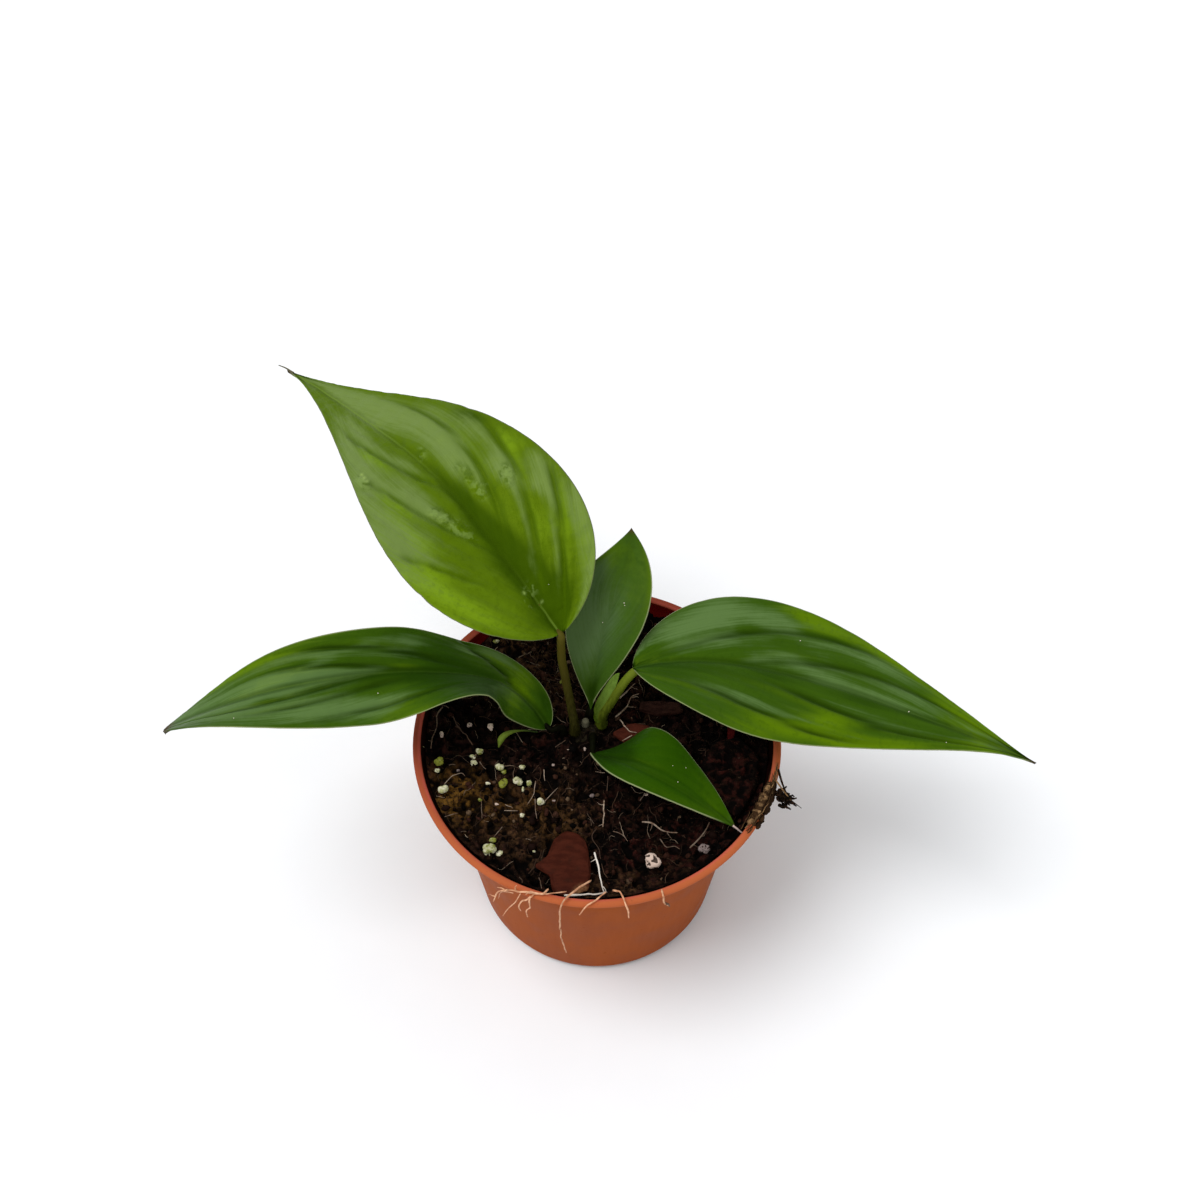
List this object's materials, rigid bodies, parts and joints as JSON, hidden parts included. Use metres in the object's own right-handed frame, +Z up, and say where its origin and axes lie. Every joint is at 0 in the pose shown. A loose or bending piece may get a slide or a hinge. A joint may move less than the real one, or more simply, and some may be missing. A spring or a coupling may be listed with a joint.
{
  "type": "potted homalomena",
  "caption": "Young homalomena house plant with pointed glossy leaves on slender stalks, growing in a flared terracotta-coloured plastic nursery pot.",
  "frame": {"origin": "on the pot's axis at the underside of the pot, where it stands", "axes": "+Z up along the pot's axis; +X towards the right-hand leaf, +Y away from the viewer, towards the back leaves"},
  "size_m": [0.2091, 0.1398, 0.1124],
  "materials": {
    "pot": "thin terracotta-coloured moulded plastic, soft sheen",
    "mix": "damp dark peat potting mix with fine fibre",
    "crown": "brown fibrous plant base",
    "pale_leaf": "yellow-green leaf, satin",
    "leaf": "deep green leaf, satin with impressed veins",
    "stalk": "olive-green leaf stalk, satin",
    "shoot": "pale green young growth, satin",
    "bark": "reddish-brown damp bark",
    "perlite": "cream porous grain with green algae tint",
    "root": "pale dry root"
  },
  "bodies": {
    "root": {"nursery_pot": "pot", "potting_mix": "mix", "crown": "crown", "back_left_blade": "pale_leaf", "left_blade": "leaf", "back_blade": "leaf", "right_blade": "leaf", "front_blade": "leaf", "right_stalk_sheath": "shoot", "back_left_stalk": "stalk", "left_stalk": "stalk", "back_stalk": "stalk", "right_stalk": "stalk", "front_stalk": "stalk", "old_stalk_stub": "crown", "side_shoot": "shoot", "bark_chip_front": "bark", "bark_chip_crown": "bark", "bark_strip_back": "bark", "peat_block_right": "bark", "bark_splinter": "bark", "perlite_1": "perlite", "perlite_2": "perlite", "perlite_3": "perlite", "perlite_4": "perlite", "perlite_5": "perlite", "perlite_6": "perlite", "perlite_7": "perlite", "perlite_8": "perlite", "rim_root_clump": "mix", "soil_root_1": "root", "soil_root_2": "root", "soil_root_3": "root", "soil_root_4": "root", "soil_root_5": "root", "soil_root_6": "root", "soil_root_7": "root", "soil_root_8": "root", "rim_root_1": "root", "rim_root_2": "root", "rim_root_3": "root", "rim_root_4": "root"}
  },
  "joints": []
}
